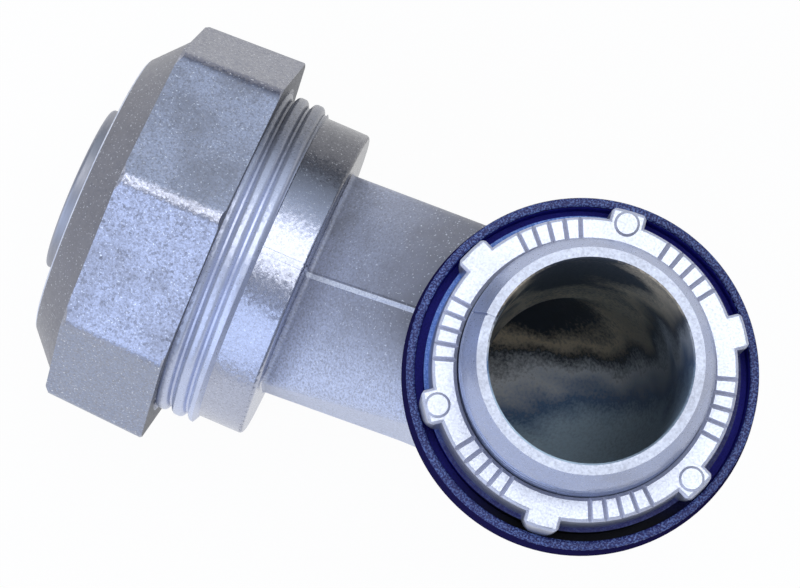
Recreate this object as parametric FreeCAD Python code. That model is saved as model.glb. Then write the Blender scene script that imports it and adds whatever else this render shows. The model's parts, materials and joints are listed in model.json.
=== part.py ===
import FreeCAD, Part
import math
import os

# Right-angle connector for flexible metal conduit, half inch trade size, die-cast zinc.
# Frame: the hub axis is Z and points out of the hub's mouth, and the shoulder that seats
# the gasket is the plane z = 0. The gland axis lies along -X, below the shoulder.
# Hub-side places are heights z. Gland-side places are reaches from the hub axis along -X.

Vector = FreeCAD.Vector

# Conduit that the connector takes
conduit_diameter = 21.1
conduit_bore = 15.9

# Hub: a bore, a flat end face, a start cone and the threaded outside.
# The taper thread is drawn as two plain lands, the thinner one at the mouth.
hub_bore = 17.06
hub_face_width = 0.98
hub_cone_width = 1.14
hub_cone_depth = 3.0
hub_length = 15.5
hub_lead_length = 7.1
hub_taper_step = 0.18
hub_mouth_break = 0.15
hub_throat_taper = 4.0

# Shoulder under the gasket
shoulder_inset = 0.5
shoulder_thickness = 2.4
shoulder_sweep = 5.4
shoulder_edge = 0.4
shoulder_under_flat = 0.3

# Elbow between the shoulder and the collar
gland_drop = 20.0
neck_bore = 16.4
neck_side_wall = 2.1
neck_top_wall = 2.1
neck_waist_inset = 0.9
neck_waist_reach = 12.0
neck_waist_round = 40.0
bend_inner_radius = 0.8
elbow_edge_share = 0.777  # radius of the lower edges, as a share of the neck's smaller half size
crown_rise = 3.5
crown_edge_round = 1.5
gusset_top = 0.6
gusset_inset = 0.2

# Collar and threaded gland barrel
collar_reach = 25.7
collar_length = 4.2
collar_edge = 0.4
collar_fillet = 0.4
barrel_wall = 3.1
thread_depth = 0.78
thread_relief = 0.4
gland_thread_length = 9.7
gland_end_chamfer = 1.0
socket_depth = 6.5
flare_depth = 1.4
flare_rise = 0.8

# Ferrule: a tube for the conduit's bore and a cup for the conduit's end
tube_clearance = 0.2
tube_wall = 0.85
tube_length = 14.7
tube_end_round = 0.3
cup_clearance = 0.65
cup_wall = 0.95
cup_web = 1.2
cup_depth = 2.9
cup_round = 0.5
socket_clearance = 0.25

# Gland nut: a drafted octagon with a flat front, a conical nose and a round mouth
nut_gap = 4.0
nut_length = 9.7
nut_nose_length = 3.12
nut_nose_step = 0.4
nut_nose_round = 0.6
nut_rear_wall = 1.93
nut_front_wall = 1.53
nut_thread_clearance = 0.05
nut_cavity_depth = 9.3
nut_lip = 2.23
nut_roll = 1.4
nut_edge_round = 2.0
nut_rear_chamfer = 0.35
nut_front_chamfer = 0.5
mouth_clearance = 0.45
mouth_break = 0.4
nut_sides = 8

# Sealing ring that the nut presses on the conduit
ring_clearance = 0.3
ring_length = 5.0
ring_flange = 1.25
ring_taper_length = 1.65
ring_nose_clearance = 0.3
ring_flange_clearance = 0.35

# Gasket: an inner land, a groove and a thin outer rim
gasket_clearance = 0.28
gasket_land_width = 2.46
gasket_land_height = 3.8
gasket_groove_width = 0.75
gasket_groove_floor = 1.0
gasket_rim_width = 0.79
gasket_rim_height = 4.1
gasket_rim_round = 0.25
gasket_flare = 0.32

# Locknut: a ring with square lugs, every second one with a round pad
locknut_clearance = 0.05
locknut_ring_width = 2.07
locknut_height = 4.2
locknut_bore_chamfer = 0.3
locknut_draft = 0.25
locknut_edge = 0.3
lug_count = 6
lug_width = 3.0
lug_clearance = 0.05
lug_root = 0.7
lug_corner = 1.4
lug_first_angle = -22.8
pad_radius = 1.1
pad_inset = 0.05
pad_height = 0.18
pad_slope = 0.22
pad_count = 3
serrations = 5
serration_width = 0.42
serration_depth = 0.3
serration_spacing = 1.38

# Places nearer than this are one place
same_place = 0.001

# Radii and places that follow from the sizes above
hub_bore_radius = hub_bore / 2
hub_face_radius = hub_bore_radius + hub_face_width
hub_lead_radius = hub_face_radius + hub_cone_width
hub_land_radius = hub_lead_radius + hub_taper_step
hub_cone_start = hub_length - hub_cone_depth
hub_lead_start = hub_length - hub_lead_length

gasket_bore_radius = hub_land_radius + gasket_clearance
gasket_groove_inner = gasket_bore_radius + gasket_land_width
gasket_groove_outer = gasket_groove_inner + gasket_groove_width
gasket_radius = gasket_groove_outer + gasket_rim_width

locknut_bore_radius = hub_land_radius + locknut_clearance
locknut_ring_radius = locknut_bore_radius + locknut_ring_width
lug_tip_radius = gasket_groove_outer - lug_clearance - locknut_draft
locknut_base = gasket_land_height
locknut_face = locknut_base + locknut_height

shoulder_radius = gasket_radius - shoulder_inset
neck_bore_radius = neck_bore / 2
neck_half_width = neck_bore_radius + neck_side_wall
neck_half_height = neck_bore_radius + neck_top_wall
bend_radius = neck_bore_radius + bend_inner_radius

cup_bore_radius = conduit_diameter / 2 + cup_clearance
cup_radius = cup_bore_radius + cup_wall
socket_radius = cup_radius + socket_clearance
gland_thread_radius = socket_radius + barrel_wall
collar_radius = gland_thread_radius - thread_depth
collar_front = collar_reach + collar_length
gland_thread_start = collar_front + thread_relief
gland_end = gland_thread_start + gland_thread_length
socket_floor = gland_end - socket_depth

tube_radius = conduit_bore / 2 - tube_clearance
tube_bore_radius = tube_radius - tube_wall
tube_end = socket_floor + tube_length

nut_rear = collar_front + nut_gap
nut_front = nut_rear + nut_length
nut_nose = nut_front + nut_nose_length
nut_seat = nut_rear + nut_cavity_depth
nut_thread_radius = gland_thread_radius + nut_thread_clearance
nut_rear_flat = nut_thread_radius + nut_rear_wall
nut_front_flat = nut_thread_radius + nut_front_wall
mouth_radius = conduit_diameter / 2 + mouth_clearance
nut_nose_radius = mouth_radius + nut_lip
nut_nose_base = nut_front_flat - nut_nose_step

ring_bore_radius = conduit_diameter / 2 + ring_clearance
ring_nose_radius = socket_radius - ring_nose_clearance
ring_flange_radius = nut_thread_radius - ring_flange_clearance
ring_taper_rise = ring_taper_length * flare_rise / flare_depth


def on_hub(radius, height):
    """A point of the half plane through the hub axis."""
    return Vector(radius, 0, height)


def on_gland(reach, radius):
    """A point of the half plane through the gland axis, above it."""
    return Vector(-reach, 0, radius - gland_drop)


def on_side(reach, height):
    """A point of the elbow's plane of symmetry."""
    return Vector(-reach, 0, height)


def on_plan(reach, side):
    """A point of the level plane through the gland axis."""
    return Vector(-reach, side, -gland_drop)


def on_lug(side, height):
    """A point of the upright plane across a lug that points along +X."""
    return Vector(0, side, height)


def on_seat(reach, side):
    """A point of the locknut's seat, for a lug that points along +X."""
    return Vector(reach, side, locknut_base)


def outline(place, corners):
    """A face from corners (u, v) or (u, v, radius), the latter rounded by a tangent arc."""
    points = [place(*corner[:2]) for corner in corners]
    stretches = []
    for index, corner in enumerate(corners):
        point = points[index]
        to_last = (points[index - 1] - point).normalize()
        to_next = (points[(index + 1) % len(points)] - point).normalize()
        radius = corner[2] if len(corner) > 2 else 0
        half = to_last.getAngle(to_next) / 2
        setback = radius / math.tan(half)
        middle = point + (to_last + to_next).normalize() * (radius / math.sin(half) - radius)
        stretches.append((point + to_last * setback, middle, point + to_next * setback, radius))
    edges = []
    for index, (start, middle, end, radius) in enumerate(stretches):
        edges.append(Part.LineSegment(stretches[index - 1][2], start).toShape())
        if radius:
            edges.append(Part.Arc(start, middle, end).toShape())
    return Part.Face(Part.Wire(edges))


def turned_on_hub(corners):
    """A solid of revolution about the hub axis, from (radius, height) corners."""
    return outline(on_hub, corners).revolve(Vector(0, 0, 0), Vector(0, 0, 1), 360)


def turned_on_gland(corners):
    """A solid of revolution about the gland axis, from (reach, radius) corners."""
    return outline(on_gland, corners).revolve(Vector(0, 0, -gland_drop), Vector(1, 0, 0), 360)


def gland_cylinder(radius, start, end):
    """A cylinder on the gland axis between two reaches."""
    return Part.makeCylinder(radius, end - start, Vector(-start, 0, -gland_drop), Vector(-1, 0, 0))


def hub_outside():
    """Shoulder with its swept underside, the two thread lands and the start cone."""
    sweep_start = shoulder_radius - shoulder_sweep
    sweep_radius = shoulder_sweep - shoulder_edge - shoulder_under_flat
    return turned_on_hub([
        (0, -shoulder_thickness - shoulder_sweep),
        (sweep_start, -shoulder_thickness - shoulder_sweep),
        (sweep_start, -shoulder_thickness, sweep_radius),
        (shoulder_radius, -shoulder_thickness, shoulder_edge),
        (shoulder_radius, 0, shoulder_edge),
        (hub_land_radius, 0),
        (hub_land_radius, hub_lead_start - hub_taper_step),
        (hub_lead_radius, hub_lead_start),
        (hub_lead_radius, hub_cone_start),
        (hub_face_radius, hub_length),
        (0, hub_length),
    ])


def crowned(start, end):
    """The space under a ridge that runs from start to end and falls away in an arc to both sides."""
    along = (end - start).normalize()
    across = Vector(0, neck_half_width, 0)
    up = along.cross(Vector(0, 1, 0))
    left = start - across - up * crown_rise
    right = start + across - up * crown_rise
    foot = up * (-2 * gland_drop)
    roof = Part.Arc(left, start, right).toShape()
    walls = Part.makePolygon([right, right + foot, left + foot, left])
    return Part.Face(Part.Wire([roof] + walls.Edges)).extrude(end - start)


def elbow_outside():
    """The bend with its gusset: waisted sides, a round underside and a crowned top."""
    neck_top = neck_half_height - gland_drop
    neck_bottom = -neck_half_height - gland_drop
    back_reach = -neck_half_height
    collar_inside = collar_reach + collar_edge
    gusset_start = (collar_inside, neck_top)
    gusset_end = (shoulder_radius - gusset_inset, -gusset_top)
    side = outline(on_side, [
        (collar_inside, neck_bottom),
        (back_reach, neck_bottom, bend_radius + neck_half_height),
        (back_reach, -gusset_top),
        gusset_end,
        gusset_start,
    ])
    waist = neck_half_width - neck_waist_inset
    plan = outline(on_plan, [
        (collar_inside, -neck_half_width),
        (neck_waist_reach, -waist, neck_waist_round),
        (back_reach, -waist),
        (back_reach, waist),
        (neck_waist_reach, waist, neck_waist_round),
        (collar_inside, neck_half_width),
    ])
    side.translate(Vector(0, -neck_half_width, 0))
    plan.translate(Vector(0, 0, -neck_half_height))
    block = side.extrude(Vector(0, 2 * neck_half_width, 0))
    block = block.common(plan.extrude(Vector(0, 0, gland_drop + neck_half_height)))
    margin = collar_edge / 2

    def runs_below(edge):
        """Whether an edge of a side face runs along the underside or up the back."""
        box = edge.BoundBox
        on_a_side = abs(box.Center.y) > waist - margin
        at_the_collar = box.XMax < -collar_inside + margin
        under_or_behind = box.ZMin < neck_bottom + margin or box.XMin > margin
        return on_a_side and under_or_behind and not at_the_collar

    edge_radius = elbow_edge_share * min(neck_half_width, neck_half_height)
    block = block.makeFillet(edge_radius, [edge for edge in block.Edges if runs_below(edge)])
    run = on_side(*gusset_end) - on_side(*gusset_start)
    block = block.common(crowned(on_side(*gusset_start) - run, on_side(*gusset_end) + run * 2))

    def crown_edge(edge):
        """Whether an edge is where the crown falls to one of the sides."""
        box = edge.BoundBox
        rises = box.ZLength > same_place and box.XLength > same_place
        return rises and abs(box.Center.y) > waist - margin and box.XMax < -margin

    return block.makeFillet(crown_edge_round, [edge for edge in block.Edges if crown_edge(edge)])


def barrel_outside():
    """Collar, thread relief and the plain thread land of the gland."""
    return turned_on_gland([
        (collar_reach, 0),
        (collar_reach, collar_radius, collar_edge),
        (collar_front, collar_radius),
        (gland_thread_start, gland_thread_radius),
        (gland_end - gland_end_chamfer, gland_thread_radius),
        (gland_end, gland_thread_radius - gland_end_chamfer),
        (gland_end, 0),
    ])


def wireway():
    """Hub bore, bend, neck bore and the gland's socket with its flared mouth."""
    bend_height = bend_radius - gland_drop
    hub_hole = turned_on_hub([
        (0, bend_height),
        (neck_bore_radius, bend_height),
        (hub_bore_radius, bend_height + hub_throat_taper),
        (hub_bore_radius, hub_length - hub_mouth_break),
        (hub_bore_radius + hub_mouth_break, hub_length),
        (0, hub_length),
    ])
    section = Part.Face(Part.Wire(Part.makeCircle(
        neck_bore_radius, Vector(0, 0, bend_height), Vector(0, 0, 1))))
    bend = section.revolve(Vector(-bend_radius, 0, bend_height), Vector(0, 1, 0), 90)
    neck_hole = gland_cylinder(neck_bore_radius, bend_radius, socket_floor)
    socket = turned_on_gland([
        (socket_floor, 0),
        (socket_floor, socket_radius),
        (gland_end - flare_depth, socket_radius),
        (gland_end, socket_radius + flare_rise),
        (gland_end, 0),
    ])
    return hub_hole.fuse([bend, neck_hole, socket])


def elbow_body():
    """The casting: hub, elbow, collar and barrel, with the wireway through it."""
    casting = elbow_outside().fuse([hub_outside(), barrel_outside()])
    margin = collar_edge / 2

    def meets_collar(edge):
        """Whether an edge is where the neck runs into the collar's back face."""
        box = edge.BoundBox
        in_back_face = box.XLength < margin and abs(box.Center.x + collar_reach) < margin
        return in_back_face and box.ZMax < neck_half_height - gland_drop + collar_edge

    corner = [edge for edge in casting.Edges if meets_collar(edge)]
    return casting.makeFillet(collar_fillet, corner).cut(wireway()).removeSplitter()


def ferrule():
    """The tube and the cup that hold the conduit's end, seated on the socket's floor."""
    return turned_on_gland([
        (socket_floor, tube_bore_radius, tube_end_round),
        (tube_end, tube_bore_radius, tube_end_round),
        (tube_end, tube_radius, tube_end_round),
        (socket_floor + cup_web, tube_radius),
        (socket_floor + cup_web, cup_bore_radius, cup_round),
        (socket_floor + cup_depth, cup_bore_radius),
        (socket_floor + cup_depth, cup_radius),
        (socket_floor, cup_radius, cup_round),
    ])


def sealing_ring():
    """The tapered ring between the nut's seat and the flared mouth of the barrel."""
    taper_end = nut_seat - ring_flange
    return turned_on_gland([
        (nut_seat - ring_length, ring_bore_radius),
        (nut_seat, ring_bore_radius),
        (nut_seat, ring_flange_radius),
        (taper_end, ring_flange_radius),
        (taper_end, ring_nose_radius + ring_taper_rise),
        (taper_end - ring_taper_length, ring_nose_radius),
        (nut_seat - ring_length, ring_nose_radius),
    ])


def octagon(reach, flat_radius):
    """The nut's octagon at one reach, from the radius of its flats."""
    radius = flat_radius / math.cos(math.pi / nut_sides)
    angles = [math.radians(nut_roll + 360 * side / nut_sides) for side in range(nut_sides)]
    points = [Vector(-reach, radius * math.sin(a), radius * math.cos(a) - gland_drop) for a in angles]
    return Part.Wire(Part.makePolygon(points + points[:1]))


def gland_nut():
    """Drafted octagon, conical nose, threaded cavity and mouth."""
    prism = Part.makeLoft(
        [octagon(nut_rear, nut_rear_flat), octagon(nut_front, nut_front_flat)], True, True)
    long_edges = [edge for edge in prism.Edges if edge.BoundBox.XLength > nut_length / 2]
    prism = prism.makeFillet(nut_edge_round, long_edges)
    rear_corner = nut_rear_flat / math.cos(math.pi / nut_sides)
    front_corner = nut_front_flat / math.cos(math.pi / nut_sides)
    end_limit = turned_on_gland([
        (nut_rear, 0),
        (nut_rear, rear_corner - nut_rear_chamfer),
        (nut_rear + nut_rear_chamfer, rear_corner),
        (nut_front - nut_front_chamfer, front_corner),
        (nut_front, front_corner - nut_front_chamfer),
        (nut_front, 0),
    ])
    nose = turned_on_gland([
        (nut_seat, 0),
        (nut_seat, nut_nose_base),
        (nut_front, nut_nose_base),
        (nut_nose, nut_nose_radius, nut_nose_round),
        (nut_nose, 0),
    ])
    cavity = turned_on_gland([
        (nut_rear, 0),
        (nut_rear, nut_thread_radius + nut_rear_chamfer),
        (nut_rear + nut_rear_chamfer, nut_thread_radius),
        (nut_seat, nut_thread_radius),
        (nut_seat, mouth_radius),
        (nut_nose - mouth_break, mouth_radius),
        (nut_nose, mouth_radius + mouth_break),
        (nut_nose, 0),
    ])
    return prism.common(end_limit).fuse(nose).cut(cavity).removeSplitter()


def gasket():
    """The moulded sealing gasket on the shoulder."""
    return turned_on_hub([
        (gasket_bore_radius, 0),
        (gasket_radius + gasket_flare, 0, gasket_rim_round),
        (gasket_radius, gasket_rim_height, gasket_rim_round),
        (gasket_groove_outer, gasket_rim_height, gasket_rim_round),
        (gasket_groove_outer, gasket_groove_floor),
        (gasket_groove_inner, gasket_groove_floor),
        (gasket_groove_inner, gasket_land_height),
        (gasket_bore_radius, gasket_land_height),
    ])


def about_hub(shape, angle):
    """A copy of a shape turned about the hub axis."""
    turned = shape.copy()
    turned.rotate(Vector(0, 0, 0), Vector(0, 0, 1), angle)
    return turned


def locknut_lugs():
    """The square lugs with drafted walls, and a round pad on every second one."""
    half_width = lug_width / 2 + locknut_draft
    section = outline(on_lug, [
        (-half_width, locknut_base),
        (half_width, locknut_base),
        (lug_width / 2, locknut_face, locknut_edge),
        (-lug_width / 2, locknut_face, locknut_edge),
    ])
    root = locknut_ring_radius - lug_root
    section.translate(Vector(root, 0, 0))
    plan = outline(on_seat, [
        (root, -half_width),
        (lug_tip_radius + locknut_draft, -half_width, lug_corner),
        (lug_tip_radius + locknut_draft, half_width, lug_corner),
        (root, half_width),
    ])
    reach = turned_on_hub([
        (0, locknut_base),
        (lug_tip_radius + locknut_draft, locknut_base),
        (lug_tip_radius, locknut_face, locknut_edge),
        (0, locknut_face),
    ])
    lug = section.extrude(Vector(lug_tip_radius, 0, 0)).common(reach)
    lug = lug.common(plan.extrude(Vector(0, 0, locknut_height)))
    pad_reach = lug_tip_radius - pad_inset - pad_radius
    pad_foot = Part.makeCylinder(pad_radius, locknut_height, on_seat(pad_reach, 0))
    pad_top = Part.makeCone(
        pad_radius, pad_radius - pad_slope, pad_height, Vector(pad_reach, 0, locknut_face))
    pad = pad_foot.fuse(pad_top)
    angles = [lug_first_angle + 360 * index / lug_count for index in range(lug_count)]
    lugs = [about_hub(lug, angle) for angle in angles]
    pads = [about_hub(pad, angle) for angle in angles[::lug_count // pad_count]]
    return lugs + pads


def locknut_serrations():
    """The short radial grooves in the face, a group in the middle of each gap between lugs."""
    section = outline(on_lug, [
        (-serration_width / 2, locknut_face),
        (0, locknut_face - serration_depth),
        (serration_width / 2, locknut_face),
    ])
    section.translate(Vector(hub_land_radius, 0, 0))
    groove = section.extrude(Vector(locknut_ring_radius - hub_land_radius, 0, 0))
    step = math.degrees(serration_spacing / locknut_ring_radius)
    grooves = []
    for gap in range(lug_count):
        middle = lug_first_angle + 360 * (gap + 0.5) / lug_count
        for index in range(serrations):
            grooves.append(about_hub(groove, middle + (index - (serrations - 1) / 2) * step))
    return grooves


def locknut():
    """The cast locknut, seated on the gasket's land."""
    ring = turned_on_hub([
        (locknut_bore_radius, locknut_base),
        (locknut_ring_radius + locknut_draft, locknut_base),
        (locknut_ring_radius, locknut_face, locknut_edge),
        (locknut_bore_radius + locknut_bore_chamfer, locknut_face),
        (locknut_bore_radius, locknut_face - locknut_bore_chamfer),
    ])
    return ring.fuse(locknut_lugs()).cut(locknut_serrations()).removeSplitter()


def main():
    """Writes each piece as its own solid."""
    pieces = {
        "elbow_body": elbow_body(),
        "ferrule": ferrule(),
        "sealing_ring": sealing_ring(),
        "gland_nut": gland_nut(),
        "gasket": gasket(),
        "locknut": locknut(),
    }
    os.makedirs("parts", exist_ok=True)
    for name, shape in pieces.items():
        solid = shape if shape.ShapeType == "Solid" else Part.Solid(shape.Solids[0])
        print(name, len(shape.Solids), shape.isValid(), round(solid.Volume, 2))
        solid.exportStep("parts/" + name + ".step")


main()
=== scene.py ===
"""Right-angle conduit connector: threads, parting lines, cast finishes and a plain stage."""
import json
import math
from collections import namedtuple

import bmesh
import bpy
from bpy.props import FloatProperty, FloatVectorProperty, IntProperty, PointerProperty
from bpy.types import Operator, Panel, PropertyGroup
from mathutils import Matrix, Vector


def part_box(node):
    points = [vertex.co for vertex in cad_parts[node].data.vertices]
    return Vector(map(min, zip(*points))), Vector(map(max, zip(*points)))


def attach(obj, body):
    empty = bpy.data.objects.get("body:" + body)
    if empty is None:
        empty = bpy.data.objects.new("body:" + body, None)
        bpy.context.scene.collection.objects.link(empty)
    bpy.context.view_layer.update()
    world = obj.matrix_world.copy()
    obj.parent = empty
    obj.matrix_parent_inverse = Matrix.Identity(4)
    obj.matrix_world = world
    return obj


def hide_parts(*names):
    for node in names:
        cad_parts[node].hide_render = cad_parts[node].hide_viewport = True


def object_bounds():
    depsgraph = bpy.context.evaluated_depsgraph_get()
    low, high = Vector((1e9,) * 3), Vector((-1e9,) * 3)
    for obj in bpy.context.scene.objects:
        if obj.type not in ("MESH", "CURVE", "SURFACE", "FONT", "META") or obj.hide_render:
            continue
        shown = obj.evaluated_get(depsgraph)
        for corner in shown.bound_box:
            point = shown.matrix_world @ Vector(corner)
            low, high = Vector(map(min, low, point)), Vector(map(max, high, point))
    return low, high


bl_info = {
    "name": "Elbow Conduit Connector",
    "version": (1, 0, 0),
    "blender": (4, 5, 0),
    "location": "3D View > Sidebar > Elbow",
    "description": "Threads, parting lines and finishes for a cast right-angle conduit connector",
    "category": "Object",
}

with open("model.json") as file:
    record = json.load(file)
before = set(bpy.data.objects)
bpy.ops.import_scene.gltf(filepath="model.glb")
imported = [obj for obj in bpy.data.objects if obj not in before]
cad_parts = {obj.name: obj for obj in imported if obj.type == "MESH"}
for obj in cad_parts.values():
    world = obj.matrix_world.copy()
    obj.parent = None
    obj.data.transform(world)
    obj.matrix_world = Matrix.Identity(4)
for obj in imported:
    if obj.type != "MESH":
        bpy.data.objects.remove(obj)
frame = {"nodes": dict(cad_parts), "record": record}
CAD_BOX = [list(corner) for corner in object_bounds()]
MM = 0.001

# The wireway: a bore in the hub, a bend, a bore in the neck and a wider socket in the barrel
MOUNTS = {mount["name"]: mount for mount in frame["record"]["mounts"]}
GLAND_HEIGHT = MOUNTS["conduit_spigot"]["pos_m"][2]
BORE_RADIUS = MOUNTS["wire_throat"]["dims"]["r_mm"] * MM
BEND_RADIUS = 9.0 * MM
BEND_HEIGHT = GLAND_HEIGHT + BEND_RADIUS
WALL_SPARE = 0.1 * MM
SOCKET_REACH = 33.4 * MM
SOCKET_RADIUS = 13.35 * MM

# Outside of the casting: reaches are from the hub axis, heights from the shoulder
COLLAR_FRONT = 29.95 * MM
COLLAR_BACK = 25.6 * MM
HUB_CONE_START = 12.6 * MM
SEAM_TOP = -2.5 * MM
SEAM_CLEARANCE = 1.0 * MM

# Where the finishes of the nut, the locknut and the gasket change
NOSE_LENGTH = 3.1 * MM
NOSE_RADIUS = 12.5 * MM
EDGE_WIDTH = 0.3 * MM
PAD_HEIGHT = 0.18 * MM
GROOVE_INNER = 13.5 * MM
GROOVE_OUTER = 14.4 * MM
LAND_HEIGHT = 3.75 * MM

# Share of a face's normal along an axis from which the face counts as looking that way
END_FACING = 0.9
NOSE_FACING = 0.95
PAD_FACING = 0.97
TOP_FACING = 0.5

# Section of a thread's groove: share of its depth above the root, and width as a share of the pitch
GROOVE = ((0, 0.12), (0.4, 0.24), (0.75, 0.4), (0.92, 0.56), (1, 0.74))
THREAD_SPARE = 0.15 * MM

# How meshes are merged and shaded
MERGE_DISTANCE = 0.001 * MM
SMOOTH_ANGLE = math.radians(32)

# Directions in which a finish changes over a piece
PLUS_X = (1, 0, 0)
PLUS_Y = (0, 1, 0)
MINUS_Y = (0, -1, 0)
ACROSS_BANDS = (-0.39, 0.92, 0)
# Side of the gasket's groove that takes painted shadow
GROOVE_SHADOW_SIDE = (0.4, -0.92, 0)
# Side of the gasket's land that takes painted light
LAND_LIGHT_SIDE = (-0.93, 0.37, 0)

# How patterns are turned, stretched, spread and centred
BAND_TURN = math.radians(-23)
BAND_SCALE = (0.4, 1, 0.5)
DRAWN_SCALE = (12, 1, 1)
SIDE_COVER = 0.9
NOISE_MIDDLE = 0.5
CELL_MIDDLE = (0.5, 0.5, 0.5)

# Stage: each lamp has a place, the width and height of its face, and a tint
FLOOR_SIZE = 8.0
FLOOR_WHITE = 0.96
LAMPS = {
    "key": ((0, 0.2, 0.95), (0.7, 0.7), (1, 1, 1)),
    "fill": ((-0.55, -0.85, 0.65), (1.8, 1.3), (0.68, 0.78, 1)),
    "back": ((0, 1.0, 0.75), (1.8, 1.0), (0.77, 0.88, 1)),
}
CAMERA_PLACE = (-7.85 * MM, -40.35 * MM, 374.6 * MM)
CAMERA_RIGHT = Vector((0.91794, 0.39622, 0.02052))
CAMERA_UP = Vector((-0.39599, 0.91175, 0.10916))
SENSOR_WIDTH = 36
CLIP_START = 10 * MM

# A tone that a finish takes on from one distance to another in a direction
Side = namedtuple("Side", "tone direction start end")


def length(name, description, default):
    """A length property in metres."""
    return FloatProperty(name=name, description=description, default=default, unit="LENGTH", precision=6)


def count(name, description, default, least=1):
    """A property that counts."""
    return IntProperty(name=name, description=description, default=default, min=least)


def colour(name, description, default):
    """A linear colour property."""
    return FloatVectorProperty(
        name=name, description=description, default=default, subtype="COLOR", min=0, max=1)


def brightness(name, description, default):
    """How bright a lamp's face is, where a white floor under a white sky is 1."""
    return FloatProperty(name=name, description=description, default=default, min=0)


class ThreadSizes(PropertyGroup):
    """Sizes of the two cast threads and of the parting line."""
    gland_pitch: length("Gland pitch", "Distance between turns on the barrel", 1.5875 * MM)
    gland_crest: length("Gland crest", "Radius of the barrel's thread at its crest", 15.5 * MM)
    gland_root: length("Gland root", "Radius of the barrel's thread at its root", 14.88 * MM)
    gland_start: length(
        "Gland start", "Reach from the hub axis at which the barrel's thread begins", 28.26 * MM)
    gland_turns: count("Gland turns", "Turns of the barrel's thread", 9)
    hub_pitch: length("Hub pitch", "Distance between turns on the hub", 1.8143 * MM)
    hub_crest: length("Hub crest", "Largest radius of the hub's thread", 10.83 * MM)
    hub_root: length("Hub root", "Radius of the hub's thread at its root", 9.8 * MM)
    hub_start: length("Hub start", "Height above the shoulder at which the hub's thread begins", 1.0 * MM)
    hub_turns: count("Hub turns", "Turns of the hub's thread", 6)
    hub_roll: FloatProperty(
        name="Hub roll", description="Side of the hub on which its thread runs out",
        default=math.radians(-66.5), unit="ROTATION")
    steps: count("Steps", "Segments in one turn of a thread", 96, 24)
    seam_width: length("Seam width", "Width of the parting ridge", 0.45 * MM)
    seam_groove: length("Seam groove", "Width of the groove beside the parting ridge", 0.2 * MM)
    seam_height: length("Seam height", "Height of the parting ridge and depth of its groove", 0.1 * MM)
    seam_notch: length("Seam notch", "Depth of the parting line across the end of the hub", 0.16 * MM)


class CastingColours(PropertyGroup):
    """Colours of the finishes."""
    zinc: colour("Zinc", "Clean cast zinc", (0.47, 0.50, 0.62))
    zinc_shade: colour("Zinc shade", "Stained cast zinc", (0.25, 0.25, 0.28))
    # Brighter zinc of the locknut and of the hub's upward end faces, partly a painted highlight from the
    # lamp overhead
    zinc_bright: colour("Bright zinc", "Zinc rubbed smooth on faces", (0.56, 0.60, 0.70))
    hub: colour("Hub", "Zinc of the hub's thread and start cone", (0.38, 0.44, 0.64))
    # Painted shade: the nut's outermost flats toward +Y and -Y are darker, in place of their dimmer
    # reflections
    nut_top: colour("Nut top", "Outermost faces of the nut toward +Y", (0.14, 0.15, 0.21))
    nut_bottom: colour("Nut bottom", "Outermost faces of the nut toward -Y", (0.30, 0.35, 0.49))
    # Painted shade: the nose is darker in place of the dark surround that it reflects
    nose: colour("Nose", "Nut's nose", (0.205, 0.203, 0.225))
    # Painted glints on bright grains of the skin, and the painted highlight on the seam and the nut's rim
    glint: colour("Glint", "Bright grains in the cast skin", (0.85, 0.88, 0.95))
    # Painted highlight on the locknut's leaning faces near its top
    locknut_highlight: colour("Worn", "Worn edges of the locknut", (0.62, 0.64, 0.76))
    # Darker zinc toward +Y on the collar and the thread; also the mottle on the nut's back face
    dark_zinc: colour("Tarnish", "Zinc dulled by handling", (0.10, 0.10, 0.108))
    # Painted shade on the nut's back face, in place of the shadow in the gap before the thread
    nut_back: colour("Nut back", "Dull face at the back of the nut", (0.13, 0.135, 0.155))
    # Painted shadow on the -Y side of the gasket's groove
    groove_painted_shadow: colour("Grime", "Shaded side of the gasket's groove", (0.03, 0.032, 0.04))
    # Pale zinc of the thread; on the neck's -Y side the same colour is painted light
    neck_pale: colour("Pale zinc", "Thread and the clean side of the neck", (0.66, 0.71, 0.88))
    # Painted shadow of the gasket on the neck beside the hub
    neck_painted_shadow: colour("Neck dull", "Neck beside the hub", (0.15, 0.145, 0.15))
    # Bands in the wireway stand in for its light and shade: the pale band is painted light and the dark
    # bands painted shade, with grey, blue and brown bands between
    bore_pale: colour("Bore pale", "Bare metal in the wireway", (0.95, 0.97, 1.0))
    bore_grey: colour("Bore grey", "Grey skin of the wireway", (0.66, 0.85, 1.0))
    bore_blue: colour("Bore blue", "Blue stain in the wireway", (0.16, 0.27, 0.48))
    bore_brown: colour("Bore brown", "Brown stain in the wireway", (0.75, 0.62, 0.44))
    bore_dark: colour("Bore dark", "Dark stain in the wireway", (0.035, 0.042, 0.055))
    gasket: colour("Gasket", "Moulded gasket", (0.016, 0.018, 0.11))
    # Painted shade on the gasket's outside walls, darker than its top
    gasket_wall: colour("Gasket wall", "Outside of the gasket", (0.014, 0.010, 0.05))
    gasket_pale: colour("Gasket pale", "Flecks on the gasket's top", (0.25, 0.38, 0.80))
    # Painted light on the -X side of the gasket's land, which the locknut does not shade
    land_painted_light: colour("Gasket scuff", "Scuffed side of the gasket", (0.08, 0.17, 0.48))
    # Painted shade: the groove gets its own blue, set to its look in shade
    gasket_dark: colour("Gasket dark", "Bottom of the gasket's groove", (0.06, 0.06, 0.46))
    steel: colour("Steel", "Plated ferrule", (0.42, 0.43, 0.48))
    nylon: colour("Nylon", "Sealing ring", (0.62, 0.60, 0.54))


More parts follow.
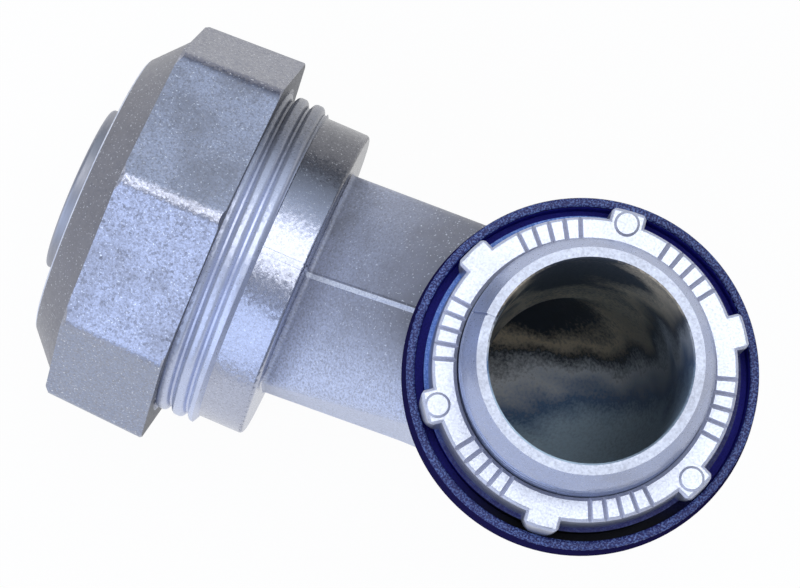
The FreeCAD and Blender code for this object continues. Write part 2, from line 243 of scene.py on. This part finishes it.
class StageSettings(PropertyGroup):
    """Floor, lamps and camera."""
    floor: colour("Floor", "Pale floor", (0.92, 0.92, 0.92))
    surround: colour("Surround", "Light from all round", (0.24, 0.265, 0.325))
    key: brightness("Key", "Brightness of the lamp overhead", 2.4)
    fill: brightness("Fill", "Brightness of the lamp in front", 1.5)
    back: brightness("Back", "Brightness of the lamp behind", 0.6)
    lens: FloatProperty(name="Lens", description="Focal length", default=196.3, unit="CAMERA")


class ConnectorSettings(PropertyGroup):
    """All settings of the connector."""
    threads: PointerProperty(type=ThreadSizes)
    colours: PointerProperty(type=CastingColours)
    stage: PointerProperty(type=StageSettings)


def take(obj):
    """Makes one object the only selected one and the active one."""
    bpy.ops.object.select_all(action="DESELECT")
    obj.select_set(True)
    bpy.context.view_layer.objects.active = obj


def node_copy(node, name):
    """A merged copy of a CAD node that stands where the node is."""
    piece = bpy.data.objects.new(name, frame["nodes"][node].data.copy())
    bpy.context.scene.collection.objects.link(piece)
    piece.data.name = name
    piece.data.materials.clear()
    take(piece)
    bpy.ops.mesh.customdata_custom_splitnormals_clear()
    bpy.ops.object.mode_set(mode="EDIT")
    bpy.ops.mesh.select_all(action="SELECT")
    bpy.ops.mesh.remove_doubles(threshold=MERGE_DISTANCE)
    bpy.ops.object.mode_set(mode="OBJECT")
    return piece


def select_faces(piece, test):
    """Selects the faces, in edit mode, whose centre and normal pass a test."""
    mesh = bmesh.from_edit_mesh(piece.data)
    bpy.ops.mesh.select_all(action="DESELECT")
    for face in mesh.faces:
        face.select_set(test(face.calc_center_median(), face.normal))
    bmesh.update_edit_mesh(piece.data)


def apply_modifier(piece, kind, name, **settings):
    """Adds a modifier and applies it."""
    take(piece)
    modifier = piece.modifiers.new(name, kind)
    for key, value in settings.items():
        setattr(modifier, key, value)
    bpy.ops.object.modifier_apply(modifier=modifier.name)


def smooth(piece):
    """Smooth shading except over sharp edges, with flat faces kept flat."""
    take(piece)
    bpy.ops.object.shade_smooth_by_angle(angle=SMOOTH_ANGLE)
    apply_modifier(piece, "WEIGHTED_NORMAL", "Normals", keep_sharp=True)


def paint(piece, finishes, choose):
    """Gives each face of a piece the finish that the choice returns for its centre and normal."""
    for finish in finishes:
        piece.data.materials.append(finish)
    for face in piece.data.polygons:
        face.material_index = finishes.index(choose(face.center, face.normal))


def settle(piece, body, slot, *nodes):
    """Hides the CAD nodes that a piece stands in for and hangs the piece on its body."""
    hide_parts(*nodes)
    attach(piece, body)


def dress(node, finish):
    """Gives a CAD node its finish."""
    for slot in frame["nodes"][node].material_slots:
        slot.material = finish


def from_gland(point):
    """Distance from the gland axis."""
    return math.hypot(point.y, point.z - GLAND_HEIGHT)


def from_hub(point):
    """Distance from the hub axis."""
    return math.hypot(point.x, point.y)


def in_wireway(point, normal):
    """Whether a face of the casting belongs to the wireway through it."""
    wall = BORE_RADIUS + WALL_SPARE
    if point.z > BEND_HEIGHT:
        return from_hub(point) < wall and normal.dot(Vector((point.x, point.y, 0))) < 0
    if -point.x > SOCKET_REACH:
        return from_gland(point) < SOCKET_RADIUS
    if -point.x > BEND_RADIUS:
        return from_gland(point) < wall
    centre = Vector((-BEND_RADIUS, 0, BEND_HEIGHT))
    middle = Vector((point.x, 0, point.z)) - centre
    return (point - centre - middle.normalized() * BEND_RADIUS).length < wall


def thread_cutter(name, axis, pitch, crest, root, start, turns, steps):
    """A solid that cuts a right-handed round-crested thread, swept by a screw about the X or Z axis."""
    along_x = axis == "X"
    heights = [root + level * (crest - root) for level, width in GROOVE] + [crest + THREAD_SPARE]
    widths = [width * pitch for level, width in GROOVE] + [GROOVE[-1][1] * pitch]
    depth = heights[1] - heights[0]
    middle = heights[0] + depth / 2
    place = (start, 0, middle) if along_x else (middle, 0, start)
    bpy.ops.object.select_all(action="DESELECT")
    bpy.ops.mesh.primitive_plane_add(size=1, location=place, rotation=(math.pi / 2, 0, 0))
    cutter = bpy.context.object
    cutter.name = name
    cutter.scale = (widths[0], depth, 1) if along_x else (depth, widths[0], 1)
    bpy.ops.object.transform_apply(location=True, rotation=True, scale=True)
    bpy.ops.object.mode_set(mode="EDIT")
    bpy.ops.mesh.select_mode(type="VERT")

    def widen(ratio):
        """Scales what is selected along the screw's axis."""
        value = (ratio, 1, 1) if along_x else (1, 1, ratio)
        bpy.ops.transform.resize(value=value, center_override=place)

    mesh = bmesh.from_edit_mesh(cutter.data)
    bpy.ops.mesh.select_all(action="DESELECT")
    for vertex in mesh.verts:
        vertex.select_set((vertex.co.z if along_x else vertex.co.x) > middle)
    mesh.select_flush(True)
    bmesh.update_edit_mesh(cutter.data)
    widen(widths[1] / widths[0])
    for index in range(2, len(heights)):
        rise = heights[index] - heights[index - 1]
        bpy.ops.mesh.extrude_region_move(
            TRANSFORM_OT_translate={"value": (0, 0, rise) if along_x else (rise, 0, 0)})
        widen(widths[index] / widths[index - 1])
    bpy.ops.mesh.select_all(action="SELECT")
    bpy.ops.mesh.dissolve_faces()
    bpy.ops.mesh.select_all(action="SELECT")
    bpy.ops.mesh.delete(type="ONLY_FACE")
    bpy.ops.object.mode_set(mode="OBJECT")
    apply_modifier(
        cutter, "SCREW", "Sweep", axis=axis, angle=2 * math.pi, screw_offset=pitch,
        iterations=turns, steps=steps, render_steps=steps)
    bpy.ops.object.mode_set(mode="EDIT")
    bpy.ops.mesh.select_all(action="SELECT")
    bpy.ops.mesh.fill_holes(sides=0)
    bpy.ops.mesh.select_all(action="SELECT")
    bpy.ops.mesh.normals_make_consistent(inside=False)
    bpy.ops.object.mode_set(mode="OBJECT")
    return cutter


def cut(piece, cutter):
    """Takes a cutter's solid away from a piece and removes the cutter."""
    apply_modifier(piece, "BOOLEAN", "Cut", operation="DIFFERENCE", object=cutter, solver="EXACT")
    bpy.data.objects.remove(cutter, do_unlink=True)


def press_strip(piece, low, high, height, test):
    """Raises or sinks the strip of a piece between two planes across Y where a test holds."""
    take(piece)
    bpy.ops.object.mode_set(mode="EDIT")
    bpy.ops.mesh.select_mode(type="FACE")
    for side in (low, high):
        bpy.ops.mesh.select_all(action="SELECT")
        bpy.ops.mesh.bisect(plane_co=(0, side, 0), plane_no=PLUS_Y)
    select_faces(piece, lambda point, normal: low < point.y < high and test(point, normal))
    bpy.ops.mesh.extrude_region_shrink_fatten(
        TRANSFORM_OT_shrink_fatten={"value": height, "use_even_offset": True})
    bpy.ops.object.mode_set(mode="OBJECT")


def raise_seam(casting, sizes):
    """Raises the parting ridge on the outside of the body, with a groove beside it."""

    def parted(point, normal):
        """Whether a face lies outside, below the shoulder and short of the barrel."""
        outside = from_hub(point) > BORE_RADIUS + SEAM_CLEARANCE and not in_wireway(point, normal)
        return outside and point.x > -COLLAR_FRONT and point.z < SEAM_TOP

    press_strip(casting, -sizes.seam_width, 0, sizes.seam_height, parted)
    press_strip(casting, 0, sizes.seam_groove, -sizes.seam_height, parted)


def cut_hub_thread(casting, sizes):
    """Cuts the thread of the hub."""
    cutter = thread_cutter(
        "hub_cutter", "Z", sizes.hub_pitch, sizes.hub_crest, sizes.hub_root,
        sizes.hub_start, sizes.hub_turns, sizes.steps)
    cutter.rotation_euler.z = sizes.hub_roll
    cut(casting, cutter)


def cut_gland_thread(casting, sizes):
    """Cuts the thread of the barrel, from its far end back to the collar."""
    far_end = -sizes.gland_start - sizes.gland_turns * sizes.gland_pitch
    cutter = thread_cutter(
        "gland_cutter", "X", sizes.gland_pitch, sizes.gland_crest, sizes.gland_root,
        far_end, sizes.gland_turns, sizes.steps)
    cutter.location.z = GLAND_HEIGHT
    cut(casting, cutter)


def notch_hub(casting, sizes):
    """Sinks the parting line across the end of the hub, on the gland's side."""

    def parted(point, normal):
        """Whether a face lies on the hub's end, on the gland's side."""
        return point.x < 0 and point.z > HUB_CONE_START and not in_wireway(point, normal)

    press_strip(casting, 0, sizes.seam_groove, -sizes.seam_notch, parted)


class Wire:
    """A shader socket that takes part in Python expressions."""

    def __init__(self, finish, socket):
        self.finish = finish
        self.socket = socket

    def maths(self, operation, first, second):
        """Adds one Math node."""
        return self.finish.node("ShaderNodeMath", {"operation": operation}, {0: first, 1: second})

    def __add__(self, other):
        return self.maths("ADD", self, other)

    __radd__ = __add__

    def __sub__(self, other):
        return self.maths("SUBTRACT", self, other)

    def __rsub__(self, other):
        return self.maths("SUBTRACT", other, self)

    def __mul__(self, other):
        return self.maths("MULTIPLY", self, other)

    __rmul__ = __mul__


def opaque(tone):
    """A colour with full alpha, or a link as it is."""
    return tone if isinstance(tone, Wire) else (*tone, 1)


def swing(noise, amount):
    """A noise moved to swing about nothing, over a given amount."""
    return (noise - NOISE_MIDDLE) * amount


class Finish:
    """A node material that is built by expressions."""

    def __init__(self, name):
        self.material = bpy.data.materials.new(name)
        self.material.use_nodes = True
        self.tree = self.material.node_tree
        self.tree.nodes.clear()
        self.place = self.node("ShaderNodeTexCoord", output="Object")

    def node(self, kind, settings=None, values=None, output=0):
        """Adds one node: its settings first, then the values or links of its sockets."""
        node = self.tree.nodes.new(kind)
        for key, value in (settings or {}).items():
            if key == "stops":
                stops = node.color_ramp.elements
                while len(stops) < len(value):
                    stops.new(1)
                for stop, (position, tone) in zip(stops, value):
                    stop.position = position
                    stop.color = opaque(tone)
            else:
                setattr(node, key, value)
        for key, value in (values or {}).items():
            if isinstance(value, Wire):
                self.tree.links.new(value.socket, node.inputs[key])
            else:
                node.inputs[key].default_value = value
        return Wire(self, node.outputs[output])

    def noise(self, size, detail=2.0, roughness=0.5, distortion=0.0, place=None):
        """Noise with features of about a given size in metres."""
        return self.node("ShaderNodeTexNoise", None, {
            "Vector": place or self.place, "Scale": 1 / size, "Detail": detail,
            "Roughness": roughness, "Distortion": distortion}, "Fac")

    def toward(self, direction):
        """How far a place lies in a direction from the part's origin, in metres."""
        return self.node("ShaderNodeVectorMath", {"operation": "DOT_PRODUCT"}, {
            0: self.place, 1: direction}, "Value")

    def ramp(self, wire, low, high):
        """A smooth step from nothing at one value to all at another."""
        return self.node("ShaderNodeMapRange", {"interpolation_type": "SMOOTHSTEP"}, {
            "Value": wire, "From Min": low, "From Max": high})

    def mix(self, factor, first, second):
        """A colour between two colours."""
        return self.node("ShaderNodeMix", {"data_type": "RGBA"}, {
            0: factor, 6: opaque(first), 7: opaque(second)}, 2)

    def scatter(self, size, amount):
        """The surface's normal, tipped a little at random in each small grain."""
        cells = self.node("ShaderNodeTexVoronoi", None, {"Vector": self.place, "Scale": 1 / size}, "Color")
        grain = self.node("ShaderNodeVectorMath", {"operation": "SUBTRACT"}, {0: cells, 1: CELL_MIDDLE})
        tip = self.node("ShaderNodeVectorMath", {"operation": "SCALE"}, {0: grain, "Scale": amount})
        face = self.node("ShaderNodeNewGeometry", output="Normal")
        return self.node("ShaderNodeVectorMath", {"operation": "ADD"}, {0: face, 1: tip})

    def bump(self, height, distance, normal=None):
        """A normal from a height between nothing and one, over a distance in metres."""
        values = {"Height": height, "Distance": distance, "Strength": 1.0}
        if normal:
            values["Normal"] = normal
        return self.node("ShaderNodeBump", None, values)

    def close(self, base, **values):
        """Ends the material in one plastic or metal shader."""
        sockets = {"Base Color": opaque(base)}
        sockets.update({key.replace("_", " "): value for key, value in values.items()})
        return self.show(self.node("ShaderNodeBsdfPrincipled", None, sockets))

    def show(self, shader):
        """Links a shader to the material's output."""
        output = self.tree.nodes.new("ShaderNodeOutputMaterial")
        self.tree.links.new(shader.socket, output.inputs["Surface"])
        return self.material


def cast_zinc(name, clean, stain, glint, stained, roughness, grains, metal=0.92, sides=()):
    """Die-cast zinc: a grained skin with stains, dark pits, painted glints on bright grains, and sides of
    other tones.
    """
    skin = Finish(name)
    mottle = skin.ramp(skin.noise(size=6 * MM, detail=4, roughness=0.62), low=0.42, high=0.68)
    grain = skin.noise(size=0.2 * MM, roughness=0.6)
    pits = skin.ramp(skin.noise(size=0.2 * MM, detail=3, roughness=0.7), low=0.38, high=0.7)
    bright = skin.ramp(skin.noise(size=0.18 * MM, detail=1), low=0.66, high=0.74)
    tone = skin.mix(mottle * stained, clean, stain)
    for side in sides:
        cover = skin.ramp(skin.toward(side.direction), side.start, side.end) * SIDE_COVER
        tone = skin.mix(cover, tone, side.tone)
    tone = skin.mix(pits * grains, tone, stain)
    # Painted glints: a few bright grains take the glint colour
    tone = skin.mix(bright * grains, tone, glint)
    tipped = skin.scatter(size=0.26 * MM, amount=grains * 0.2)
    return skin.close(
        tone, Metallic=metal, Roughness=roughness + swing(grain, amount=0.2),
        Normal=skin.bump(grain, distance=0.008 * MM, normal=tipped))


def bore_skin(colours):
    """The wireway's rough wall, in long bands of tone and of painted light and shade, darkened away from
    the neck as painted shade.
    """
    skin = Finish("bore_skin")
    lengthwise = skin.node("ShaderNodeMapping", None, {
        "Vector": skin.place, "Rotation": (0, 0, BAND_TURN), "Scale": BAND_SCALE})
    drift = skin.noise(size=4.5 * MM, distortion=0.2, place=lengthwise)
    grain = skin.noise(size=0.3 * MM, detail=3, roughness=0.6)
    level = skin.toward(ACROSS_BANDS) + swing(drift, amount=9 * MM) + swing(grain, amount=3 * MM)
    bands = skin.node("ShaderNodeValToRGB", {"stops": (
        (0.05, colours.bore_grey), (0.22, colours.bore_blue), (0.42, colours.bore_pale),
        (0.6, colours.bore_dark), (0.74, colours.bore_brown), (0.88, colours.bore_dark),
    )}, {"Fac": skin.ramp(level, low=-6 * MM, high=12 * MM)})
    # Painted shade away from the neck
    far_side = skin.ramp(skin.toward(PLUS_X), low=-1 * MM, high=8 * MM)
    specks = skin.ramp(grain, low=0.4, high=0.65)
    shade = far_side * 0.65 + specks * 0.1
    return skin.close(
        skin.mix(shade, bands, colours.bore_dark), Metallic=0.1,
        Roughness=0.5 + swing(grain, amount=0.3), Normal=skin.bump(grain, distance=0.03 * MM))


def gasket_plastic(name, plain, fleck_tone, flecked, gloss=0.3, side=None, near=1, far=1):
    """Moulded plastic with fine pale flecks, and on one side another tone with its own share of flecks."""
    skin = Finish(name)
    fleck = skin.ramp(skin.noise(size=0.17 * MM, roughness=0.6), low=0.44, high=0.64)
    cloud = skin.noise(size=4 * MM)
    cover = fleck * (0.3 + cloud * 0.7) * flecked
    if side:
        share = skin.ramp(skin.toward(side.direction), side.start, side.end)
        plain = skin.mix(share, plain, side.tone)
        cover = cover * (near + share * (far - near))
    grain = skin.noise(size=0.15 * MM)
    tipped = skin.scatter(size=0.2 * MM, amount=0.25)
    return skin.close(
        skin.mix(cover, plain, fleck_tone), Specular_IOR_Level=gloss,
        Roughness=0.45 + swing(grain, amount=0.3),
        Normal=skin.bump(grain, distance=0.015 * MM, normal=tipped))


def plated_steel(colours):
    """Drawn and plated sheet with fine lines round its axis."""
    skin = Finish("plated_steel")
    drawn = skin.node("ShaderNodeMapping", None, {"Vector": skin.place, "Scale": DRAWN_SCALE})
    lines = skin.noise(size=1.5 * MM, detail=3, roughness=0.6, place=drawn)
    tone = skin.mix(lines * 0.4, colours.steel, colours.zinc_shade)
    return skin.close(
        tone, Metallic=0.8, Roughness=0.36 + lines * 0.2, Normal=skin.bump(lines, distance=0.006 * MM))


def nylon(colours):
    """Natural nylon, slightly waxy."""
    skin = Finish("nylon")
    cloud = skin.noise(size=2 * MM, detail=3)
    tone = skin.mix(cloud * 0.3, colours.nylon, colours.zinc_shade)
    return skin.close(
        tone, Roughness=0.45 + swing(cloud, amount=0.1), Normal=skin.bump(cloud, distance=0.02 * MM))


def floor_paper(stage):
    """Pale paper that looks white to the camera and in reflections, and takes the shadow."""
    paper = Finish("floor_paper")
    path = "ShaderNodeLightPath"
    seen = paper.node(path, output="Is Camera Ray") + paper.node(path, output="Is Glossy Ray")
    seen = seen + paper.node(path, output="Is Transmission Ray")
    plain = paper.node("ShaderNodeBsdfDiffuse", None, {"Color": opaque(stage.floor)})
    white = paper.node("ShaderNodeEmission", None, {"Color": (1, 1, 1, 1), "Strength": 1.0})
    return paper.show(paper.node("ShaderNodeMixShader", None, {0: seen * FLOOR_WHITE, 1: plain, 2: white}))


class ELBOW_OT_casting(Operator):
    """Cuts both threads and presses the parting lines on the elbow casting"""
    bl_idname = "elbow.casting"
    bl_label = "Elbow casting"

    def execute(self, context):
        settings = context.scene.elbow_connector
        sizes = settings.threads
        colours = settings.colours
        zinc, shade, glint = colours.zinc, colours.zinc_shade, colours.glint
        casting = node_copy("elbow_body", "elbow_casting")
        raise_seam(casting, sizes)
        cut_hub_thread(casting, sizes)
        cut_gland_thread(casting, sizes)
        notch_hub(casting, sizes)
        smooth(casting)
        neck = cast_zinc(
            "cast_zinc", zinc, shade, glint, stained=0.5, roughness=0.45, grains=0.7, metal=0.25,
            # Painted shadow of the gasket on the neck toward the hub
            sides=(Side(colours.neck_painted_shadow, PLUS_X, start=-25 * MM, end=-11 * MM),
                   # Painted light on the neck's -Y side
                   Side(colours.neck_pale, MINUS_Y, start=1 * MM, end=9 * MM)))
        # The collar darkens toward +Y
        collar = cast_zinc(
            "rubbed_zinc", zinc, shade, glint, stained=0.2, roughness=0.26, grains=0.4,
            sides=(Side(colours.dark_zinc, PLUS_Y, start=3 * MM, end=9 * MM),))
        wireway = bore_skin(colours)
        hub = cast_zinc(
            "hub_zinc", colours.hub, shade, glint, stained=0.3, roughness=0.3, grains=0.35, metal=0.5)
        # Painted highlight along the parting ridge
        seam = cast_zinc(
            "seam_zinc", glint, zinc, glint, stained=0.6, roughness=0.4, grains=0.8, metal=0.2)
        # The hub's upward end faces get the brighter zinc, partly a painted highlight
        hub_face = cast_zinc(
            "hub_face", colours.zinc_bright, shade, glint, stained=0.25, roughness=0.48, grains=0.35)
        # The thread darkens toward +Y
        thread = cast_zinc(
            "thread_zinc", colours.neck_pale, zinc, glint,
            stained=0.3, roughness=0.3, grains=0.3, metal=0.4,
            sides=(Side(colours.dark_zinc, PLUS_Y, start=3 * MM, end=12 * MM),))

        def choose(point, normal):
            """The finish of a face, by the part of the casting that it belongs to."""
            if in_wireway(point, normal):
                return wireway
            if point.z > 0:
                return hub_face if normal.z > END_FACING else hub
            if point.x < -COLLAR_FRONT:
                return thread
            if point.x < -COLLAR_BACK:
                return collar
            # The parting ridge gets the painted highlight
            return seam if -sizes.seam_width < point.y < 0 else neck

        paint(casting, [neck, collar, wireway, hub, seam, hub_face, thread], choose)
        settle(casting, "elbow", "zinc", "elbow_body")
        return {"FINISHED"}


class ELBOW_OT_gland_nut(Operator):
    """Gives the octagonal gland nut its cast finish, duller on the nose, with painted shade on the nose,
    outer flats and back and a painted highlight on the rim
    """
    bl_idname = "elbow.gland_nut"
    bl_label = "Gland nut"

    def execute(self, context):
        colours = context.scene.elbow_connector.colours
        zinc, shade, glint = colours.zinc, colours.zinc_shade, colours.glint
        nut = node_copy("gland_nut", "gland_nut_casting")
        smooth(nut)
        # The outermost flats toward +Y and -Y take painted shade
        flats = cast_zinc(
            "nut_zinc", zinc, shade, glint, stained=0.6, roughness=0.3, grains=0.8,
            sides=(Side(colours.nut_top, PLUS_Y, start=12.4 * MM, end=13.4 * MM),
                   Side(colours.nut_bottom, MINUS_Y, start=12.4 * MM, end=13.4 * MM)))
        # Painted shade on the nose, which is also rougher
        nose = cast_zinc(
            "nose_zinc", colours.nose, shade, glint, stained=0.5, roughness=0.4, grains=0.6, metal=0.6)
        # Painted highlight on the rounded rim at the front of the nose
        edge = cast_zinc(
            "nut_edge", glint, zinc, glint, stained=0.6, roughness=0.4, grains=0.4, metal=0.2)
        # Painted shade on the nut's back face
        back = cast_zinc(
            "nut_back", colours.nut_back, colours.dark_zinc, zinc,
            stained=0.4, roughness=0.5, grains=0.5, metal=0.5)
        front, rear = (corner[0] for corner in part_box("gland_nut"))

        def choose(point, normal):
            """The finish of a face, by its place along the nut."""
            # The back face gets the painted shade
            if point.x > rear - EDGE_WIDTH and normal.x > END_FACING:
                return back
            # The rounded rim at the front gets the painted highlight
            if point.x < front + EDGE_WIDTH and normal.x > -NOSE_FACING and from_gland(point) > NOSE_RADIUS:
                return edge
            return nose if point.x < front + NOSE_LENGTH else flats

        paint(nut, [flats, nose, edge, back], choose)
        settle(nut, "nut", "zinc", "gland_nut")
        return {"FINISHED"}


class ELBOW_OT_locknut(Operator):
    """Gives the locknut its clean rubbed finish in brighter zinc, partly painted highlight, and a paler
    painted highlight on its leaning faces near the top
    """
    bl_idname = "elbow.locknut"
    bl_label = "Locknut"

    def execute(self, context):
        colours = context.scene.elbow_connector.colours
        locknut = node_copy("locknut", "locknut_casting")
        smooth(locknut)
        # Brighter zinc, partly a painted highlight from the lamp overhead
        rubbed = cast_zinc(
            "locknut_zinc", colours.zinc_bright, colours.zinc_shade, colours.glint,
            stained=0.2, roughness=0.35, grains=0.3)
        # Painted highlight on the leaning faces near the top
        edges = cast_zinc(
            "locknut_edges", colours.locknut_highlight, colours.zinc_shade, colours.glint,
            stained=0.3, roughness=0.45, grains=0.3, metal=0.2)
        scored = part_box("locknut")[1][2] - PAD_HEIGHT - EDGE_WIDTH

        def choose(point, normal):
            """The finish of a face: a painted highlight where it leans, near the top."""
            return edges if point.z > scored and normal.z < PAD_FACING else rubbed

        paint(locknut, [rubbed, edges], choose)
        settle(locknut, "lock", "zinc", "locknut")
        return {"FINISHED"}


class ELBOW_OT_gasket(Operator):
    """Gives the gasket its flecked plastic, with painted shade on its walls and in its groove and painted
    light on one side of the land
    """
    bl_idname = "elbow.gasket"
    bl_label = "Gasket"

    def execute(self, context):
        colours = context.scene.elbow_connector.colours
        gasket = node_copy("gasket", "gasket_moulding")
        smooth(gasket)
        # Painted shade on the gasket's walls
        wall = gasket_plastic("gasket_wall", colours.gasket_wall, colours.gasket, flecked=0.8, gloss=0)
        rim = gasket_plastic("gasket_rim", colours.gasket, colours.gasket_pale, flecked=0.65)
        # Groove: its own blue as painted shade, near black toward -Y as painted shadow
        groove = gasket_plastic(
            "gasket_groove", colours.gasket_dark, colours.gasket, flecked=0.4, gloss=0,
            side=Side(colours.groove_painted_shadow, GROOVE_SHADOW_SIDE, start=7 * MM, end=13 * MM), far=0)
        # Land: painted light and most of its flecks on the -X side
        land = gasket_plastic(
            "gasket_land", colours.gasket, colours.gasket_pale, flecked=1.0,
            side=Side(colours.land_painted_light, LAND_LIGHT_SIDE, start=3 * MM, end=11 * MM), near=0.15)

        def choose(point, normal):
            """The finish of a face, by its ring of the gasket."""
            if GROOVE_INNER < from_hub(point) < GROOVE_OUTER and point.z < LAND_HEIGHT:
                return groove
            if normal.z < TOP_FACING:
                return wall
            return rim if from_hub(point) > GROOVE_INNER else land

        paint(gasket, [wall, rim, groove, land], choose)
        settle(gasket, "seal", "blue_plastic", "gasket")
        return {"FINISHED"}


class ELBOW_OT_inner_pieces(Operator):
    """Gives the ferrule and the sealing ring their finishes"""
    bl_idname = "elbow.inner_pieces"
    bl_label = "Ferrule and sealing ring"

    def execute(self, context):
        colours = context.scene.elbow_connector.colours
        dress("ferrule", plated_steel(colours))
        dress("sealing_ring", nylon(colours))
        return {"FINISHED"}


def lamp(name, place, size, tint, face_brightness):
    """A soft oblong lamp that faces the part's origin."""
    bpy.ops.object.light_add(type="AREA", location=place)
    light = bpy.context.object
    light.name = name
    light.rotation_euler = (-Vector(place)).to_track_quat("-Z", "Y").to_euler()
    light.data.shape = "RECTANGLE"
    light.data.size, light.data.size_y = size
    light.data.energy = face_brightness * math.pi * size[0] * size[1]
    light.data.color = tint
    light.visible_camera = False


class ELBOW_OT_stage(Operator):
    """Adds the floor, the lamps and the camera"""
    bl_idname = "elbow.stage"
    bl_label = "Stage"

    def execute(self, context):
        stage = context.scene.elbow_connector.stage
        context.scene.view_settings.view_transform = "Standard"
        bpy.ops.object.select_all(action="DESELECT")
        bpy.ops.mesh.primitive_plane_add(size=FLOOR_SIZE, location=(0, 0, CAD_BOX[0][2]))
        floor = context.object
        floor.name = "floor"
        floor.data.materials.append(floor_paper(stage))

        world = bpy.data.worlds.new("surround")
        context.scene.world = world
        world.use_nodes = True
        world.node_tree.nodes["Background"].inputs["Color"].default_value = opaque(stage.surround)
        for name, (place, size, tint) in LAMPS.items():
            lamp(name, place, size, tint, getattr(stage, name))

        turn = Matrix((CAMERA_RIGHT, CAMERA_UP, CAMERA_RIGHT.cross(CAMERA_UP))).transposed()
        bpy.ops.object.camera_add(location=CAMERA_PLACE, rotation=turn.to_euler())
        camera = context.object
        camera.data.sensor_width = SENSOR_WIDTH
        camera.data.lens = stage.lens
        camera.data.clip_start = CLIP_START
        context.scene.camera = camera
        return {"FINISHED"}


OPERATORS = (
    ELBOW_OT_casting, ELBOW_OT_gland_nut, ELBOW_OT_locknut, ELBOW_OT_gasket,
    ELBOW_OT_inner_pieces, ELBOW_OT_stage,
)


class ELBOW_PT_panel(Panel):
    """Lists the connector's steps and settings"""
    bl_idname = "ELBOW_PT_panel"
    bl_label = "Elbow Conduit Connector"
    bl_space_type = "VIEW_3D"
    bl_region_type = "UI"
    bl_category = "Elbow"

    def draw(self, context):
        """Draws a button for each step and a box for each group of settings."""
        settings = context.scene.elbow_connector
        for operator in OPERATORS:
            self.layout.operator(operator.bl_idname)
        for group in (settings.threads, settings.colours, settings.stage):
            box = self.layout.box()
            for name in group.bl_rna.properties.keys():
                if name not in ("rna_type", "name"):
                    box.prop(group, name)


CLASSES = (ThreadSizes, CastingColours, StageSettings, ConnectorSettings, *OPERATORS, ELBOW_PT_panel)


def register():
    """Registers the classes and the scene's settings."""
    for entry in CLASSES:
        bpy.utils.register_class(entry)
    bpy.types.Scene.elbow_connector = PointerProperty(type=ConnectorSettings)


def unregister():
    """Removes the scene's settings and the classes."""
    del bpy.types.Scene.elbow_connector
    for entry in reversed(CLASSES):
        bpy.utils.unregister_class(entry)


def main():
    """Builds the connector and its stage."""
    register()
    bpy.ops.elbow.casting()
    bpy.ops.elbow.gland_nut()
    bpy.ops.elbow.locknut()
    bpy.ops.elbow.gasket()
    bpy.ops.elbow.inner_pieces()
    bpy.ops.elbow.stage()


if __name__ == "__main__":
    main()
